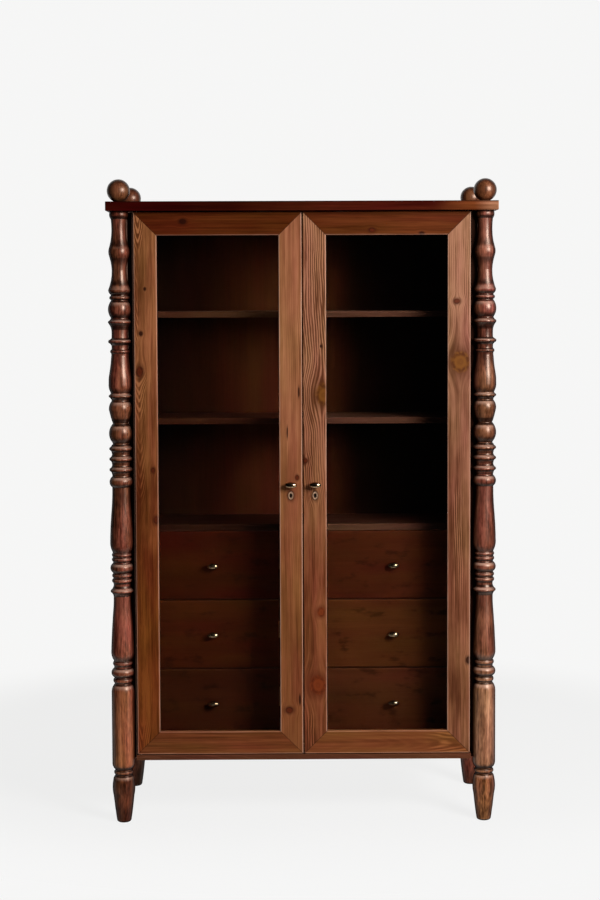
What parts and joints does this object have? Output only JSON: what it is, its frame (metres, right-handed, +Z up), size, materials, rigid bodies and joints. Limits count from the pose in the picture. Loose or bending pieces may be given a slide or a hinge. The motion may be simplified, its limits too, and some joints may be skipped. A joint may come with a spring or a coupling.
{
  "type": "glazed display cabinet",
  "caption": "Tall display cabinet on turned corner posts with ball finials, glazed double doors, shelves and a bank of drawers inside.",
  "frame": {"origin": "on the floor, under the middle of the top board", "axes": "+Z up, +X to the right of someone facing the doors, +Y from the doors towards the back"},
  "size_m": [1.2, 0.492, 2],
  "materials": {
    "door_pine": "brown-stained knotty pine, satin varnish",
    "turned_pine": "turned pine, dark stain rubbed back on the crests, satin varnish",
    "dark_pine": "deep red-brown stained pine, satin varnish",
    "case_pine": "brown-stained pine, satin varnish",
    "back_pine": "brown-stained pine boards, thin varnish",
    "inside_pine": "brown-stained pine, satin varnish",
    "drawer_pine": "brown-stained pine, satin varnish",
    "box_pine": "pale unstained pine, sanded",
    "runner_wood": "waxed beech strip",
    "glass": "clear float glass",
    "brass": "aged brass, softly polished",
    "steel": "zinc-plated steel",
    "catch_plastic": "brown moulded plastic"
  },
  "bodies": {
    "carcase": {"top_board": "dark_pine", "post_front_left": "turned_pine", "post_front_right": "turned_pine", "post_rear_left": "turned_pine", "post_rear_right": "turned_pine", "ball_finials": "turned_pine", "side_panel_left": "case_pine", "side_panel_right": "case_pine", "back_panel": "back_pine", "bottom_board": "case_pine", "case_screws": "steel", "upper_shelf": "inside_pine", "lower_shelf": "inside_pine", "shelf_pins": "brass", "drawer_bank_top": "inside_pine", "drawer_bank_base": "inside_pine", "bank_uprights": "inside_pine", "centre_stile": "drawer_pine", "drawer_runners": "runner_wood", "door_catches": "catch_plastic"},
    "left_door": {"left_door_bottom_rail": "door_pine", "left_door_outer_stile": "door_pine", "left_door_top_rail": "door_pine", "left_door_inner_stile": "door_pine", "left_door_glass": "glass", "left_door_glazing_beads": "door_pine", "left_door_knob": "brass", "left_door_escutcheon": "brass", "left_door_pivot_pins": "steel", "left_door_catch_plate": "steel"},
    "right_door": {"right_door_bottom_rail": "door_pine", "right_door_outer_stile": "door_pine", "right_door_top_rail": "door_pine", "right_door_inner_stile": "door_pine", "right_door_glass": "glass", "right_door_glazing_beads": "door_pine", "right_door_knob": "brass", "right_door_escutcheon": "brass", "right_door_pivot_pins": "steel", "right_door_catch_plate": "steel", "lock_case": "brass"},
    "lock_bolt": {"lock_bolt": "brass"},
    "drawer_left_1": {"drawer_left_1_front": "drawer_pine", "drawer_left_1_box": "box_pine", "drawer_left_1_knob": "brass"},
    "drawer_left_2": {"drawer_left_2_front": "drawer_pine", "drawer_left_2_box": "box_pine", "drawer_left_2_knob": "brass"},
    "drawer_left_3": {"drawer_left_3_front": "drawer_pine", "drawer_left_3_box": "box_pine", "drawer_left_3_knob": "brass"},
    "drawer_right_1": {"drawer_right_1_front": "drawer_pine", "drawer_right_1_box": "box_pine", "drawer_right_1_knob": "brass"},
    "drawer_right_2": {"drawer_right_2_front": "drawer_pine", "drawer_right_2_box": "box_pine", "drawer_right_2_knob": "brass"},
    "drawer_right_3": {"drawer_right_3_front": "drawer_pine", "drawer_right_3_box": "box_pine", "drawer_right_3_knob": "brass"}
  },
  "joints": [
    {"name": "left_door_hinge", "type": "hinge", "parent": "carcase", "child": "left_door", "pos_m": [-0.509, -0.202, 1.0565], "axis": [0, 0, -1], "range_deg": [0, 110]},
    {"name": "right_door_hinge", "type": "hinge", "parent": "carcase", "child": "right_door", "pos_m": [0.509, -0.202, 1.0565], "axis": [0, 0, 1], "range_deg": [0, 110]},
    {"name": "lock_bolt_slide", "type": "slide", "parent": "right_door", "child": "lock_bolt", "axis": [-1, 0, 0], "range_m": [0, 0.012]},
    {"name": "drawer_left_1_slide", "type": "slide", "parent": "carcase", "child": "drawer_left_1", "axis": [0, -1, 0], "range_m": [0, 0.095]},
    {"name": "drawer_left_2_slide", "type": "slide", "parent": "carcase", "child": "drawer_left_2", "axis": [0, -1, 0], "range_m": [0, 0.095]},
    {"name": "drawer_left_3_slide", "type": "slide", "parent": "carcase", "child": "drawer_left_3", "axis": [0, -1, 0], "range_m": [0, 0.095]},
    {"name": "drawer_right_1_slide", "type": "slide", "parent": "carcase", "child": "drawer_right_1", "axis": [0, -1, 0], "range_m": [0, 0.095]},
    {"name": "drawer_right_2_slide", "type": "slide", "parent": "carcase", "child": "drawer_right_2", "axis": [0, -1, 0], "range_m": [0, 0.095]},
    {"name": "drawer_right_3_slide", "type": "slide", "parent": "carcase", "child": "drawer_right_3", "axis": [0, -1, 0], "range_m": [0, 0.095]}
  ]
}
